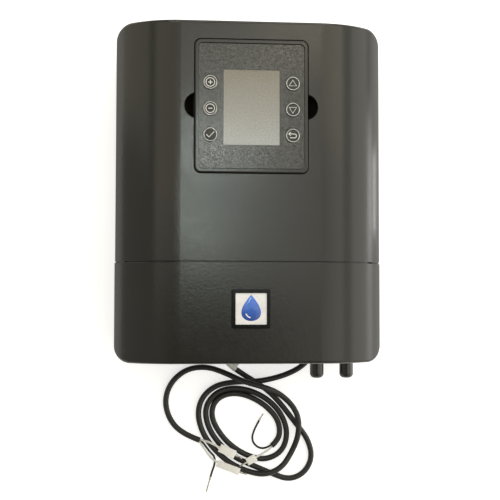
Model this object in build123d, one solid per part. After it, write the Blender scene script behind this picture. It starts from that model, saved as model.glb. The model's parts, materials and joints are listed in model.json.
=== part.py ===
from build123d import *
import os
from math import asin, cos, radians, sin, tan

# Salt chlorine generator control box, lying on its back: +Z out of the front, +Y to the top, +X right.
# The origin is the centre of the flat back face. Millimetres throughout.

# ---- casing
CASE_W = 263.0          # upper cover, left to right
CASE_H = 331.5          # both covers, top to bottom
CASE_D = 118.0          # back face to the flat middle of the front
CORNER_R = 16.0         # corners, seen from the front
WALL = 3.0
FLAT_HALF = 68.0        # half width of the flat middle of the front
SHOULDER_R = 80.0       # the front curves back on this radius each side of the flat
RIM_R = 3.0             # edge between the front and the side walls
SEAM_Y = -68.3          # joint between the upper cover and the terminal cover
SEAM_GAP = 1.0
LIP_FROM_X = 122.0      # from here outwards lips of the upper cover close the gap between the side walls
LIP_INSET = 0.8
LIP_CLEARANCE = 0.2
LOWER_PROUD = 0.5       # the terminal cover stands this much outside the upper cover each side
SHELL_INSET = 1.5       # the rear shell lies this far inside the upper cover's sides
SHELL_TOP = 60.0        # rim of the rear shell
LAP = 3.0               # the covers lap this far down over the rear shell
LAP_PLAY = 0.2          # play each side between the rear shell and the upper cover
TERMINAL_PLAY = 0.3     # the same for the terminal cover, and above the rim
LEDGE_INSET = 0.4       # the ledge under the seam lies this far inside the cover's inner face
SEAM_ROUND = 0.5        # rounded edges along the seam
MOUTH_ROUND = 0.6       # rounded edge round the display pocket
BADGE_SEAT = 1.6        # depth of the badge's seat in the terminal cover
SEAL_T = 1.6            # rubber seal on the rim
SEAL_W = 2.6
SEAL_LIP = 0.4          # the seal stops this far inside the cross wall's lower face

# ---- cable bay under the lower end and the raised panel of the probe jacks
BAY_Y = -120.0          # wall that holds the cable glands
BAY_X = (-95.0, 98.0)
JACK_PANEL_X = 60.0     # the jack chamber lies over the bay from here to the right
JACK_FLOOR_Z = 31.0
GLAND_Z = 15.5
GLAND_X = {"cell": -28.0, "mains": 78.0}
BLANK_X = (24.0, -74.0)
GLAND_HOLE_R = 8.1
JACK_X = {"ph": 74.3, "orp": 105.0}
JACK_Z = 46.0
CAP_TIP_Y = -185.6
CAP_R = 7.15

# ---- screws and the power board
COVER_SCREW_X = 112.0
COVER_SCREW_Y = (-54.0, 148.0)
COVER_POST_R = 5.0      # posts in the upper cover
SHELL_POST_R = 6.5      # posts in the rear shell
SCREW_PILOT_R = 2.0
SCREW_HOLE_R = 2.25
SCREW_HEAD_R = 4.5      # counterbore in the rear shell
SCREW_SEAT_Z = 40.0
SCREW_TIP_Z = 76.0
BOARD_SCREW_X = 92.0
BOARD_SCREW_Y = (-40.0, 40.0, 122.0)
BOARD_Z = 13.0          # the power board stands on its posts here
BOARD_TOP = 14.6
MOUNT_X = 100.0         # lower pair of wall screws
MOUNT_Y = -100.0
MOUNT_HOLE_R = 2.6

# ---- display module and its pocket
MODULE_W = 109.8
MODULE_H = 129.7
MODULE_Y = 82.1
MODULE_TOP = 119.4
MODULE_BACK = 92.0
POCKET_GAP = 0.45
POCKET_FLOOR = 91.6
OVERLAY_W = 101.9
OVERLAY_H = 120.8
OVERLAY_TOP = 119.0
OVERLAY_T = 0.6
GROOVE = 1.0            # open groove between the overlay and the raised bead
GROOVE_DEPTH = 2.0
SCREEN_W = 54.5
SCREEN_H = 72.9
SCREEN_Y = 80.7
CUTS_FROM = 110.0       # openings for the screen and the keys are cut from here up
MODULE_SCREW_X = 48.5
MODULE_SCREW_Y = 58.0   # from the module's middle
MODULE_BOARD_Z = (101.0, 102.6)
PLUG_Y = 42.0
POCKET_WALL = 2.5       # walls round the pocket and the recesses
KEY_X = 40.0
KEY_ROWS = (104.5, 79.1, 53.8)
KEY_R = 6.9
KEY_HOLE_R = 7.3
KEY_TOP = 120.4
KEY_TRAVEL = 0.8
FINGER_R = 12.4
FINGER_X = 52.3
FINGER_FLOOR = 98.0      # deepest, beside the module
FINGER_RAMP_TOP = 107.0  # the floor rises to this at the outer edge

# ---- badge
BADGE_Y = -113.4
BADGE_SIZE = 37.6
PLATE_SIZE = 30.3

# ---- leads
LEAD_D = 6.0
LEAD_START_Y = -138.0   # inside the mouth of the gland's nut
TAIL_END_Y = -110.0
CORE_D = 2.2
MARKER_T = 2.6          # flattened white sleeve
MARKER_END = 0.6        # from the marker to the core's end
FERRULE_R = 0.85
COLLAR_LENGTH = 2.7     # wider mouth of the metal end

HALF_W = CASE_W / 2
HALF_H = CASE_H / 2
SHELL_HALF_W = HALF_W - SHELL_INSET
SHELL_HALF_H = HALF_H - SHELL_INSET
SHELL_END_Y = -SHELL_HALF_H
BEYOND = 200.0          # half size of blocks that cut right across the casing
BELOW_LAP = 50.0        # rooms inside the covers are cut from here up

# Routes of the two leads, from the gland to the sheath's end. They lie on the floor and pass over each other.
MAINS_ROUTE = [
    (78, -138, 15.5), (78, -150, 15.5), (74, -163, 14.8), (65, -175, 13.2), (50.5, -183.5, 11.2),
    (32, -189.5, 10), (12, -192.5, 10), (-9, -192.5, 8.8), (-28, -196.5, 4), (-42, -208, 3.1),
    (-47.5, -225, 3.1), (-43, -245, 3.1), (-31, -263, 3.1), (-14, -278.5, 3.1), (5, -287.5, 6),
    (24, -291, 10), (42, -284, 9.4), (53.5, -268, 4.4), (60, -250, 9.9), (60.5, -231, 9.9), (53, -216.5, 7),
    (38, -204, 9), (22, -197.5, 16.8), (0, -191.5, 17), (-19, -182.5, 11.5), (-38, -176.5, 4.5),
    (-59, -179, 3.1), (-76, -193, 3.1), (-82.5, -213, 3.1), (-76.5, -234, 3.1), (-62, -248, 3.1),
    (-45, -254.6, 3.1)]
CELL_ROUTE = [
    (-28, -138, 15.5), (-28, -150, 15.5), (-23.5, -163, 12), (-13, -175, 6.5), (1, -185, 3.1),
    (15, -193.5, 3.1), (30, -204, 3.1), (43, -218, 3.1), (57, -236.5, 3.1), (71, -254, 3.1),
    (76, -274, 3.1), (67, -291, 3.1), (50, -297.5, 3.1), (31, -290, 3.1), (12, -282, 3.1),
    (-9, -272.5, 3.1), (-26, -257, 3.1), (-37, -239, 3.1), (-39.5, -219.5, 3.1), (-28.5, -204.5, 3.1),
    (-11, -199, 3.1), (9, -202, 3.1), (28.5, -212, 3.1), (43, -228, 3.1), (49.5, -248, 3.1),
    (43.5, -267.5, 3.1), (25, -276.5, 3.1), (4, -271, 3.1), (-15, -258, 3.1), (-28, -241, 3.1),
    (-32.8, -227, 3.1), (-29.5, -214, 3.1), (-18.5, -206.2, 3.1), (-3, -205, 3.1), (14, -211, 3.1),
    (29, -221.5, 3.1), (39.5, -235, 3.1), (41, -250, 3.1), (35.2, -258.7, 3.1), (32.1, -261.2, 3.1)]

# Cores beyond the sheaths: black, white, white, then white, black. The white ones lie across the coil.
MAINS_CORE_ROUTES = [
    [(-45, -254.6, 1.8), (-41.5, -257, 1.4), (-37.8, -262.2, 1.4), (-33.5, -267.8, 1.4),
     (-28.6, -272.6, 1.4), (-28.6, -280.2, 1.4), (-31.4, -287.6, 1.4), (-33.2, -294, 1.4)],
    [(-44.6, -253.5, 3.8), (-40.9, -254.6, 6.6), (-35.5, -255.6, 8.3), (-25.5, -261.1, 8.5),
     (-7, -270, 8.4)],
    [(-45.4, -255.7, 3.8), (-42, -260.6, 3.6), (-37.4, -267.6, 3.6), (-28.8, -277.7, 5.8),
     (-2.2, -287.5, 10)]]
CELL_CORE_ROUTES = [
    [(32.75, -262, 3.6), (28.5, -265.4, 4.6), (20.5, -269.4, 7.2), (15.6, -272, 8.2), (4.5, -277.8, 8.6)],
    [(31.45, -260.4, 2.6), (26, -264.2, 2), (17.5, -263.5, 1.8), (11, -256.5, 1.8), (12, -246, 1.8),
     (19, -234, 1.8)]]

# Length and width of the flattened marker sleeve on each core's last run, where it has one.
MARKERS = [None, (18.2, 9.0), (25.5, 7.4), (11, 8.0), None]
BARE_ENDS = [16.0, 8.0, 8.0, 8.0, 8.0]      # metal end of each core


def face_block(half_w, half_h, corner_r, top, shoulder_r, bottom):
    """Block with a flat front between two curved shoulders and rounded corners seen from the front.

    The bar that gives the front is a little larger than the block, so that its other sides only cut in air.
    """
    bar_half_w = half_w + 1
    floor = bottom - 1
    turn = asin((bar_half_w - FLAT_HALF) / shoulder_r)
    edge_z = top - shoulder_r * (1 - cos(turn))
    mid_x = FLAT_HALF + shoulder_r * sin(turn / 2)
    mid_z = top - shoulder_r * (1 - cos(turn / 2))
    outline = [
        Line((-bar_half_w, floor), (bar_half_w, floor)),
        Line((bar_half_w, floor), (bar_half_w, edge_z)),
        ThreePointArc((bar_half_w, edge_z), (mid_x, mid_z), (FLAT_HALF, top)),
        Line((FLAT_HALF, top), (-FLAT_HALF, top)),
        ThreePointArc((-FLAT_HALF, top), (-mid_x, mid_z), (-bar_half_w, edge_z)),
        Line((-bar_half_w, edge_z), (-bar_half_w, floor)),
    ]
    section = Plane.XZ * make_face(outline)
    bar = extrude(section, amount=half_h + 1, both=True)
    plan = Pos(0, 0, bottom) * RectangleRounded(2 * half_w, 2 * half_h, corner_r)
    return bar & extrude(plan, amount=top - bottom + 1)


def block(x0, x1, y0, y1, z0, z1):
    """Box given by its limits."""
    return Pos((x0 + x1) / 2, (y0 + y1) / 2, (z0 + z1) / 2) * Box(x1 - x0, y1 - y0, z1 - z0)


def plate(width, height, corner_r, x, y, z0, z1):
    """Upright plate with rounded corners."""
    return extrude(Pos(x, y, z0) * RectangleRounded(width, height, corner_r), amount=z1 - z0)


def post(radius, x, y, z0, z1):
    """Cylinder along Z."""
    return Pos(x, y, (z0 + z1) / 2) * Cylinder(radius, z1 - z0)


def rod(radius, x, z, y0, y1):
    """Cylinder along Y."""
    return Pos(x, (y0 + y1) / 2, z) * Rot(90, 0, 0) * Cylinder(radius, abs(y1 - y0))


def rounded_front(body):
    """Round the edge between the front and the walls."""
    def on_rim(edge):
        low = edge.bounding_box().min
        high = edge.bounding_box().max
        upright = high.Z - low.Z > 1 and high.X - low.X < 0.01 and high.Y - low.Y < 0.01
        tangent = abs(abs(edge.center().X) - FLAT_HALF) < 0.1 and high.Y - low.Y > 50
        return low.Z > SHELL_TOP and not upright and not tangent
    return fillet([edge for edge in body.edges() if on_rim(edge)], RIM_R)


def cover_screw_places():
    return [(x, y) for x in (-COVER_SCREW_X, COVER_SCREW_X) for y in COVER_SCREW_Y]


def board_screw_places():
    return [(x, y) for x in (-BOARD_SCREW_X, BOARD_SCREW_X) for y in BOARD_SCREW_Y]


def finger_recess(side):
    """Half-moon scoop beside the display pocket; its floor falls towards the pocket."""
    scoop = post(FINGER_R, side * FINGER_X, MODULE_Y, FINGER_FLOOR, CASE_D + 2)
    inner_x = side * (FINGER_X + 1)
    outer_x = side * (FINGER_X + FINGER_R + 1)
    below = FINGER_FLOOR - 1
    ramp = make_face(Polyline((inner_x, below), (inner_x, FINGER_FLOOR), (outer_x, FINGER_RAMP_TOP),
                              (outer_x, below), close=True))
    return scoop - extrude(Plane.XZ * ramp, amount=BEYOND, both=True)


def seam_lips():
    """Lips at both ends of the seam, which close its gap where the side walls meet."""
    outer = face_block(HALF_W - LIP_INSET, HALF_H, CORNER_R, CASE_D - LIP_INSET, SHOULDER_R - LIP_INSET,
                       SHELL_TOP - LAP)
    gap_end = SEAM_Y - SEAM_GAP / 2 + LIP_CLEARANCE
    lips = outer & block(-BEYOND, BEYOND, gap_end, SEAM_Y + SEAM_GAP / 2 + 1, 0, CASE_D)
    return lips - block(-LIP_FROM_X, LIP_FROM_X, -BEYOND, BEYOND, 0, CASE_D + 1)


def upper_cover():
    """Front cover of the electronics, with the display pocket and its finger recesses."""
    outer = rounded_front(face_block(HALF_W, HALF_H, CORNER_R, CASE_D, SHOULDER_R, SHELL_TOP - LAP))
    keep = block(-BEYOND, BEYOND, SEAM_Y + SEAM_GAP / 2, BEYOND, 0, CASE_D + 1)
    inner = face_block(HALF_W - WALL, HALF_H - WALL, CORNER_R - WALL, CASE_D - WALL, SHOULDER_R - WALL,
                       BELOW_LAP)
    room = inner & block(-BEYOND, BEYOND, SEAM_Y + SEAM_GAP / 2 + WALL, BEYOND, 0, CASE_D)
    lap_room = plate(2 * (SHELL_HALF_W + LAP_PLAY), 2 * (SHELL_HALF_H + LAP_PLAY), CORNER_R - SHELL_INSET, 0, 0,
                     BELOW_LAP, SHELL_TOP + SEAL_T)
    cover = (outer & keep) - room - lap_room
    seam_edges = [edge for edge in cover.edges()
                  if abs(edge.center().Y - (SEAM_Y + SEAM_GAP / 2)) < 0.01 and edge.center().Z > 84]
    cover = fillet(seam_edges, SEAM_ROUND)
    inset = WALL + LEDGE_INSET
    ledge = face_block(HALF_W - inset, HALF_H, CORNER_R, CASE_D - inset, SHOULDER_R - inset,
                       SHELL_TOP + SEAL_T + LEDGE_INSET)
    cover += ledge & block(-BEYOND, BEYOND, SEAM_Y - 3, SEAM_Y + SEAM_GAP / 2 + 1, 0, CASE_D)
    cover += seam_lips() - lap_room

    module_gap = 2 * POCKET_GAP
    walls = plate(MODULE_W + module_gap + 2 * POCKET_WALL, MODULE_H + module_gap + 2 * POCKET_WALL, 8.5, 0,
                  MODULE_Y, POCKET_FLOOR - POCKET_WALL, CASE_D - 1)
    for side in (-1, 1):
        walls += post(FINGER_R + POCKET_WALL, side * FINGER_X, MODULE_Y, FINGER_FLOOR - POCKET_WALL, CASE_D - 1)
    cover += walls
    for x, y in cover_screw_places():
        cover += post(COVER_POST_R, x, y, SHELL_TOP + 0.1, CASE_D) & inner
    cover -= plate(MODULE_W + module_gap, MODULE_H + module_gap, 6.4, 0, MODULE_Y, POCKET_FLOOR, CASE_D + 2)
    for side in (-1, 1):
        cover -= finger_recess(side)
    for x, y in cover_screw_places():
        cover -= post(SCREW_PILOT_R, x, y, SHELL_TOP - 1, SCREW_TIP_Z + 2)
    cover -= block(-17, 17, PLUG_Y - 6, PLUG_Y + 6, 80, POCKET_FLOOR + 1)
    mouth = [edge for edge in cover.edges()
             if abs(edge.center().Z - CASE_D) < 0.01 and edge.bounding_box().max.Z - CASE_D < 0.01
             and abs(edge.center().X) < FLAT_HALF - 1 and abs(edge.center().Y - MODULE_Y) < 70]
    return fillet(mouth, MOUTH_ROUND)


def terminal_cover():
    """Lower cover over the terminal bay, open towards the upper cover."""
    half_w = HALF_W + LOWER_PROUD
    half_h = HALF_H + LOWER_PROUD
    outer = rounded_front(face_block(half_w, half_h, CORNER_R, CASE_D, SHOULDER_R, SHELL_TOP - LAP))
    keep = block(-BEYOND, BEYOND, -BEYOND, SEAM_Y - SEAM_GAP / 2, 0, CASE_D + 1)
    inner = face_block(half_w - WALL, half_h - WALL, CORNER_R - WALL, CASE_D - WALL, SHOULDER_R - WALL,
                       BELOW_LAP)
    lap_room = plate(2 * (SHELL_HALF_W + TERMINAL_PLAY), 2 * (SHELL_HALF_H + TERMINAL_PLAY),
                     CORNER_R - SHELL_INSET, 0, 0, BELOW_LAP, SHELL_TOP + TERMINAL_PLAY)
    cover = (outer & keep) - inner - lap_room
    seam_edges = [edge for edge in cover.edges()
                  if abs(edge.center().Y - (SEAM_Y - SEAM_GAP / 2)) < 0.01 and edge.center().Z > 84
                  and edge.bounding_box().max.Z > CASE_D - 0.01]
    cover = fillet(seam_edges, SEAM_ROUND)
    cover -= plate(BADGE_SIZE + 0.2, BADGE_SIZE + 0.2, 2.2, 0, BADGE_Y, CASE_D - BADGE_SEAT,
                   CASE_D + 2)
    for x in (-118.0, 118.0):
        rib = block(x - 1.2, x + 1.2, -120, -80, SHELL_TOP + 1, CASE_D) & inner
        cover += rib - block(-BEYOND, BEYOND, -BEYOND, 0, 0, 78)
    return cover


def rear_shell():
    """Back tray with the cable bay, the jack panel, screw posts and board posts."""
    outer = plate(2 * SHELL_HALF_W, 2 * SHELL_HALF_H, CORNER_R - SHELL_INSET, 0, 0, 0, SHELL_TOP)
    outer = fillet(outer.edges().group_by(Axis.Z)[0], 3)
    inner = plate(2 * (SHELL_HALF_W - WALL), 2 * (SHELL_HALF_H - WALL), CORNER_R - SHELL_INSET - WALL, 0, 0,
                  WALL, SHELL_TOP + 1)
    shell = outer - inner
    bay_in = BAY_Y + WALL
    end = SHELL_END_Y
    left, right = BAY_X
    panel = JACK_PANEL_X
    shell += block(left - WALL, panel + WALL, end + 1, bay_in, 1, SHELL_TOP)
    shell += block(panel, right + WALL, end + 1, bay_in, 1, JACK_FLOOR_Z + WALL)
    shell -= block(left, panel, end - 5, BAY_Y, -1, SHELL_TOP - WALL)
    shell -= block(panel - 1, right, end - 5, BAY_Y, -1, JACK_FLOOR_Z)
    shell += block(-SHELL_HALF_W + 1, SHELL_HALF_W - 1, SEAM_Y + 0.5, SEAM_Y + 0.5 + WALL, 1, SHELL_TOP)
    for x, y in cover_screw_places():
        shell += post(SHELL_POST_R, x, y, 1, SHELL_TOP)
    for x, y in board_screw_places():
        shell += post(4, x, y, 1, BOARD_Z)
    for x, y in cover_screw_places():
        shell -= post(SCREW_HOLE_R, x, y, -1, SHELL_TOP + 1)
        shell -= post(SCREW_HEAD_R, x, y, -1, SCREW_SEAT_Z)
    for x, y in board_screw_places():
        shell -= post(1.5, x, y, 4, BOARD_Z + 1)
    for x in (-MOUNT_X, MOUNT_X):
        shell += post(7, x, MOUNT_Y, 1, 6)
        shell -= post(MOUNT_HOLE_R, x, MOUNT_Y, -1, 7)
    shell += block(-19, 19, 128, SHELL_HALF_H - 1, 1, 12)
    shell -= block(-16, 16, 131, 157, 2, 9.5)
    shell -= block(-30.2, 30.2, 130.8, 157.2, -1, 2.0)
    for x in list(GLAND_X.values()) + list(BLANK_X):
        shell -= rod(GLAND_HOLE_R, x, GLAND_Z, BAY_Y - 1, bay_in + 1)
    for x in JACK_X.values():
        shell -= rod(4.9, x, JACK_Z, end - 1, end + WALL + 1)
    return shell


def cover_seal():
    """Flat rubber ring on the rim and the cross wall of the rear shell."""
    width = 2 * SHELL_HALF_W
    height = 2 * SHELL_HALF_H
    corner_r = CORNER_R - SHELL_INSET
    low_y = SEAM_Y + SEAM_GAP / 2
    ring = plate(width, height, corner_r, 0, 0, SHELL_TOP, SHELL_TOP + SEAL_T)
    ring &= block(-HALF_W, HALF_W, low_y + SEAL_LIP, HALF_H, 0, CASE_D)
    inside = plate(width - 2 * SEAL_W, height - 2 * SEAL_W, corner_r - SEAL_W, 0, 0, 0, CASE_D)
    return ring - (inside & block(-HALF_W, HALF_W, low_y + SEAL_W, HALF_H, 0, CASE_D))


def hanger_plate():
    """Steel keyhole plate let into the back near the top."""
    body = plate(60, 26, 3, 0, 144, 0, 2.0)
    body -= post(4.5, 0, 141, -1, 3)
    body -= block(-2.3, 2.3, 141, 151, -1, 3)
    return body - post(2.3, 0, 151, -1, 3)


def cover_screws():
    """Screws driven from the back through the posts into the upper cover."""
    screws = []
    for x, y in cover_screw_places():
        head = post(4, x, y, SCREW_SEAT_Z - 3, SCREW_SEAT_Z) - block(x - 3, x + 3, y - 0.5, y + 0.5, 36, 38.2)
        screws.append(head + post(1.95, x, y, SCREW_SEAT_Z - 0.5, SCREW_TIP_Z))
    return screws


def power_board():
    board = block(-100, 100, -50, 130, BOARD_Z, BOARD_TOP)
    for x, y in board_screw_places():
        board -= post(1.7, x, y, 12, 16)
    return board


def board_screws():
    return [post(1.45, x, y, 5, 15) + post(3, x, y, BOARD_TOP, 16.8) for x, y in board_screw_places()]


def transformer_core():
    """Two-part ferrite core as one closed frame round the winding."""
    core = block(-84, -36, 44, 84, 16, 52) - block(-77, -67, 40, 90, 23, 45)
    return core - block(-53, -43, 40, 90, 23, 45)


def transformer_winding():
    bobbin = block(-76, -44, 36, 92, 23.5, 44.5) - block(-67.2, -52.8, 43.8, 84.2, 22, 46)
    pins = [post(0.5, x, y, BOARD_TOP, 23.5) for x in (-72, -60, -48) for y in (39, 89)]
    return [bobbin, pins]


def filter_choke():
    return Pos(-62, 15, 27) * Rot(0, 90, 0) * Torus(9, 3.4)


def bulk_capacitors():
    return [fillet(post(11, x, 108, BOARD_TOP, 50).edges().group_by(Axis.Z)[-1], 1.5) for x in (-70, -44, -18)]


def heat_sink():
    body = block(8, 92, 94, 99, BOARD_TOP, 55)
    for index in range(9):
        x = 9 + index * 10.0
        body += block(x, x + 2, 98, 116, BOARD_TOP, 55)
    return body


def power_transistors():
    return [block(x, x + 15.6, 88.8, 93.8, 22, 43) for x in (14, 42, 70)]


def relays():
    cases = [block(x, x + 16, -30, -2, BOARD_TOP, 30) for x in (0, 26, 52)]
    return [fillet(case.edges().group_by(Axis.Z)[-1], 1) for case in cases]


def fuse_holder():
    body = block(-70, -34, -32, -22, BOARD_TOP, 20)
    for x in (-68, -42):
        body += block(x, x + 6, -31, -23, 19, 27) - rod_x(2.6, -27, 24.5, x - 1, x + 7)
    return body


def rod_x(radius, y, z, x0, x1):
    """Cylinder along X."""
    return Pos((x0 + x1) / 2, y, z) * Rot(0, 90, 0) * Cylinder(radius, x1 - x0)


def mains_fuse():
    return rod_x(2.5, -27, 24.5, -67, -37)


def terminal_block(x0, pitch, ways, y, depth, height):
    """Screw terminal strip on the floor of the terminal bay."""
    body = block(x0, x0 + pitch * ways, y - depth / 2, y + depth / 2, WALL, WALL + height)
    for index in range(ways):
        x = x0 + pitch * (index + 0.5)
        body -= post(pitch * 0.32, x, y, WALL + height - 5, WALL + height + 1)
        body -= rod(pitch * 0.26, x, WALL + height * 0.4, y - depth / 2 - 1, y - depth / 2 + 8)
    return body


MAINS_STRIP = {"x0": -33.0, "pitch": 9.0, "ways": 13, "y": -92.0, "depth": 22.0, "height": 24.0}
SENSOR_STRIP = {"x0": -92.0, "pitch": 6.0, "ways": 9, "y": -92.0, "depth": 16.0, "height": 16.0}


def terminal_screws():
    screws = []
    for strip in (MAINS_STRIP, SENSOR_STRIP):
        top = WALL + strip["height"]
        for index in range(strip["ways"]):
            x = strip["x0"] + strip["pitch"] * (index + 0.5)
            screw = post(strip["pitch"] * 0.3, x, strip["y"], top - 5, top - 1.5)
            screws.append(screw - block(x - 4, x + 4, strip["y"] - 0.4, strip["y"] + 0.4, top - 2.3, top))
    return screws


def straight(start, end, radius):
    """Round rod from one point to another."""
    line = Line(start, end)
    return extrude(Plane(origin=start, z_dir=line % 0) * Circle(radius), amount=line.length)


def lead_tails():
    """Stretch of each lead inside its gland and the bay, with its cores up to the terminals."""
    tails = []
    front = MAINS_STRIP["y"] - MAINS_STRIP["depth"] / 2
    hole_z = WALL + MAINS_STRIP["height"] * 0.4
    for name, ways in (("mains", (10, 11, 12)), ("cell", (0, 1))):
        x = GLAND_X[name]
        tails.append(rod(LEAD_D / 2, x, GLAND_Z, LEAD_START_Y, TAIL_END_Y))
        for index, way in enumerate(ways):
            across = (index - (len(ways) - 1) / 2) * 2.4
            hole_x = MAINS_STRIP["x0"] + MAINS_STRIP["pitch"] * (way + 0.5)
            tails.append(straight((x + across, TAIL_END_Y + 1, GLAND_Z), (hole_x, front + 1.5, hole_z), 1.1))
    return tails


def gland_body(x):
    """Threaded body with a hexagon flange outside the wall."""
    flange = Pos(x, BAY_Y - 2.5, GLAND_Z) * Rot(90, 0, 0) * extrude(RegularPolygon(11.2, 6), 2.5, both=True)
    body = flange + rod(7.9, x, GLAND_Z, BAY_Y - 10, BAY_Y + 9)
    return body - rod(4.0, x, GLAND_Z, BAY_Y - 20, BAY_Y + 20)


def gland_nut(x):
    """Dome nut that squeezes the seal on the lead."""
    hexagon = Pos(x, BAY_Y - 9.1, GLAND_Z) * Rot(90, 0, 0) * extrude(RegularPolygon(11.2, 6), 4, both=True)
    dome = rod(9.7, x, GLAND_Z, BAY_Y - 13, BAY_Y - 21)
    dome = fillet(dome.edges().group_by(Axis.Y)[0], 4)
    nut = hexagon + dome
    nut -= rod(8.0, x, GLAND_Z, BAY_Y - 5, BAY_Y - 18)
    return nut - rod(3.9, x, GLAND_Z, BAY_Y - 17, BAY_Y - 22)


def gland_seal(x):
    ring = rod(7.6, x, GLAND_Z, BAY_Y - 10.2, BAY_Y - 17.8)
    return ring - rod(LEAD_D / 2 + 0.05, x, GLAND_Z, BAY_Y - 9, BAY_Y - 19)


def gland_locknuts():
    nuts = []
    for x in list(GLAND_X.values()) + list(BLANK_X):
        nut = extrude(RegularPolygon(11.5, 6), 2.2, both=True)
        nut = Pos(x, BAY_Y + WALL + 2.2, GLAND_Z) * Rot(90, 0, 0) * nut
        nuts.append(nut - rod(7.95, x, GLAND_Z, BAY_Y, BAY_Y + 10))
    return nuts


def blanking_plugs():
    plugs = []
    for x in BLANK_X:
        head = rod(11, x, GLAND_Z, BAY_Y, BAY_Y - 4)
        head = fillet(head.edges().group_by(Axis.Y)[0], 1.2)
        slot = block(x - 7, x + 7, BAY_Y - 5, BAY_Y - 2.8, GLAND_Z - 0.8, GLAND_Z + 0.8)
        plugs.append(head + rod(7.9, x, GLAND_Z, BAY_Y - 1, BAY_Y + 9) - slot)
    return plugs


def probe_jack(x):
    """Bayonet socket for a probe lead, fixed in the panel."""
    front = SHELL_END_Y
    body = rod(4.8, x, JACK_Z, front - 15.5, front + 12) + rod(7, x, JACK_Z, front - 2, front)
    body += Pos(x, front - 11, JACK_Z) * Cylinder(1, 11.0)
    body -= rod(3.6, x, JACK_Z, front - 20, front - 5)
    return body + rod(0.7, x, JACK_Z, front - 13, front - 4)


def jack_nuts():
    nuts = []
    for x in JACK_X.values():
        nut = Pos(x, SHELL_END_Y + WALL + 1.5, JACK_Z) * Rot(90, 0, 0)
        nut = nut * extrude(RegularPolygon(8, 6), 1.5, both=True)
        nuts.append(nut - rod(4.85, x, JACK_Z, SHELL_END_Y, SHELL_END_Y + 12))
    return nuts


def jack_cap(x):
    """Soft push-on cap with a rounded end and a thin lip at its mouth."""
    mouth = SHELL_END_Y - 2.4
    cap = rod(CAP_R, x, JACK_Z, mouth, CAP_TIP_Y)
    cap = fillet(cap.edges().group_by(Axis.Y)[0], 4.6)
    lip = rod(CAP_R + 0.5, x, JACK_Z, mouth, mouth - 1.6)
    cap += fillet(lip.edges().group_by(Axis.Y)[0], 0.6)
    return cap - rod(5.9, x, JACK_Z, mouth + 1, -180.2)


def display_housing():
    """Front frame of the display module, with a raised bead round the overlay."""
    body = plate(MODULE_W, MODULE_H, 6, 0, MODULE_Y, MODULE_BACK + 3, MODULE_TOP)
    body = fillet(body.edges().group_by(Axis.Z)[-1], 1.4)
    body -= plate(OVERLAY_W + 2 * GROOVE, OVERLAY_H + 2 * GROOVE, 3.8 + GROOVE, 0, MODULE_Y,
                  OVERLAY_TOP - GROOVE_DEPTH, MODULE_TOP + 1)
    body += plate(OVERLAY_W, OVERLAY_H, 3.8, 0, MODULE_Y, OVERLAY_TOP - GROOVE_DEPTH - 0.4,
                  OVERLAY_TOP - OVERLAY_T)
    body -= plate(MODULE_W - 5, MODULE_H - 5, 3.5, 0, MODULE_Y, MODULE_BACK + 2, OVERLAY_TOP - 3)
    body -= plate(SCREEN_W, SCREEN_H, 0.8, 0, SCREEN_Y, CUTS_FROM, MODULE_TOP)
    for x in (-KEY_X, KEY_X):
        for y in KEY_ROWS:
            body -= post(KEY_HOLE_R, x, y, CUTS_FROM, MODULE_TOP + 1)
    for x, y in module_screw_places():
        body += post(3, x, y, MODULE_BACK + 3, OVERLAY_TOP - 2.5) - post(1.2, x, y, 90, 108)
    return body


def module_screw_places():
    return [(x, MODULE_Y + y) for x in (-MODULE_SCREW_X, MODULE_SCREW_X)
            for y in (-MODULE_SCREW_Y, MODULE_SCREW_Y)]


def display_back():
    """Back plate of the module, with the cut-out of its plug."""
    body = plate(MODULE_W, MODULE_H, 6, 0, MODULE_Y, MODULE_BACK, MODULE_BACK + 3)
    body = fillet(body.edges().group_by(Axis.Z)[0], 1)
    for x, y in module_screw_places():
        body -= post(1.6, x, y, 90, 96)
        body -= post(3, x, y, 90, 93.6)
    return body - block(-15.2, 15.2, PLUG_Y - 3.2, PLUG_Y + 3.2, 90, 96)


def display_screws():
    return [post(2.8, x, y, 92.2, 93.6) + post(1.15, x, y, 93.5, 104) for x, y in module_screw_places()]


def keypad_overlay():
    """Thin printed sheet with openings for the screen and the keys."""
    sheet = plate(OVERLAY_W, OVERLAY_H, 3.8, 0, MODULE_Y, OVERLAY_TOP - OVERLAY_T, OVERLAY_TOP)
    sheet -= plate(SCREEN_W, SCREEN_H, 0.8, 0, SCREEN_Y, CUTS_FROM, MODULE_TOP)
    for x in (-KEY_X, KEY_X):
        for y in KEY_ROWS:
            sheet -= post(KEY_HOLE_R, x, y, CUTS_FROM, MODULE_TOP + 1)
    return sheet


def screen_window():
    return plate(SCREEN_W - 0.2, SCREEN_H - 0.2, 0.7, 0, SCREEN_Y, OVERLAY_TOP - 1.3, OVERLAY_TOP - 0.1)


def lcd_panel():
    glass = block(-31, 31, SCREEN_Y - 40, SCREEN_Y + 40, 112.0, 115.8)
    raised = block(-27, 27, SCREEN_Y - 36, SCREEN_Y + 36, 115.5, OVERLAY_TOP - 1.6)
    return glass + raised


def display_board():
    board = plate(MODULE_W - 7, MODULE_H - 7, 2, 0, MODULE_Y, *MODULE_BOARD_Z)
    for x, y in module_screw_places():
        board -= post(3.3, x, y, 100, 104)
    return board


def tact_switches():
    return [block(x - 3, x + 3, y - 3, y + 3, 102.6, 106) + post(1.7, x, y, 105.5, 107.5)
            for x in (-KEY_X, KEY_X) for y in KEY_ROWS]


def display_plug():
    """Plug on the module's board that reaches through the back plate."""
    body = block(-15, 15, PLUG_Y - 3, PLUG_Y + 3, 87, MODULE_BOARD_Z[0])
    return body - block(-12, 12, PLUG_Y - 1, PLUG_Y + 1, 86, 89.5)


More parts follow.
